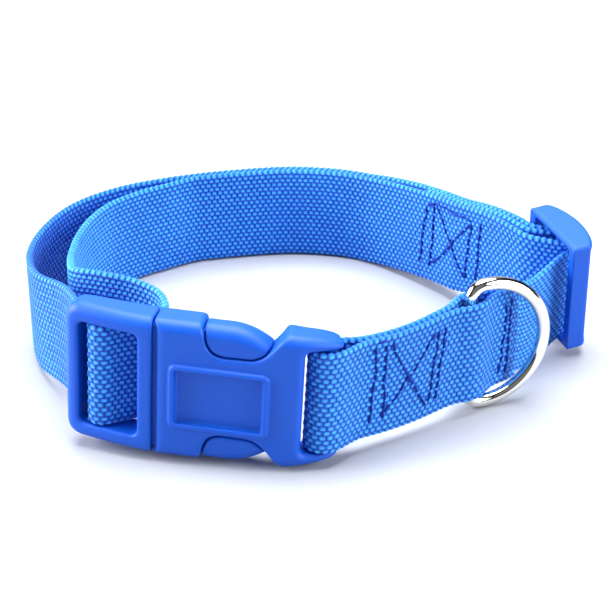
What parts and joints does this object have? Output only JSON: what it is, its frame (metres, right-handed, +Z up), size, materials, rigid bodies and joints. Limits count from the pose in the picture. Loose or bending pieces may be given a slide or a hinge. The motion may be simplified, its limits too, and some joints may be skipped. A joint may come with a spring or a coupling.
{
  "type": "dog collar",
  "caption": "Adjustable dog collar of woven webbing with a side-release buckle, a strap slider and a D-ring for the lead.",
  "frame": {"origin": "under the middle of the collar's bounding box, on the ground it stands on", "axes": "+X from the neck's middle towards the slider, -Y towards the buckle, +Z up along the neck"},
  "size_m": [0.1392, 0.1178, 0.0359],
  "materials": {
    "webbing": "woven, matte",
    "plastic": "satin",
    "chrome": "polished"
  },
  "bodies": {
    "collar": {"webbing": "webbing", "buckle_plug": "plastic", "buckle_socket": "plastic", "strap_slider": "plastic"},
    "ring": {"d_ring": "chrome"}
  },
  "joints": [
    {"name": "ring_swing", "type": "hinge", "parent": "collar", "child": "ring", "pos_m": [0.03733, -0.03139, 0.01698], "axis": [0, 0, -1], "range_deg": [-1, 120]}
  ]
}
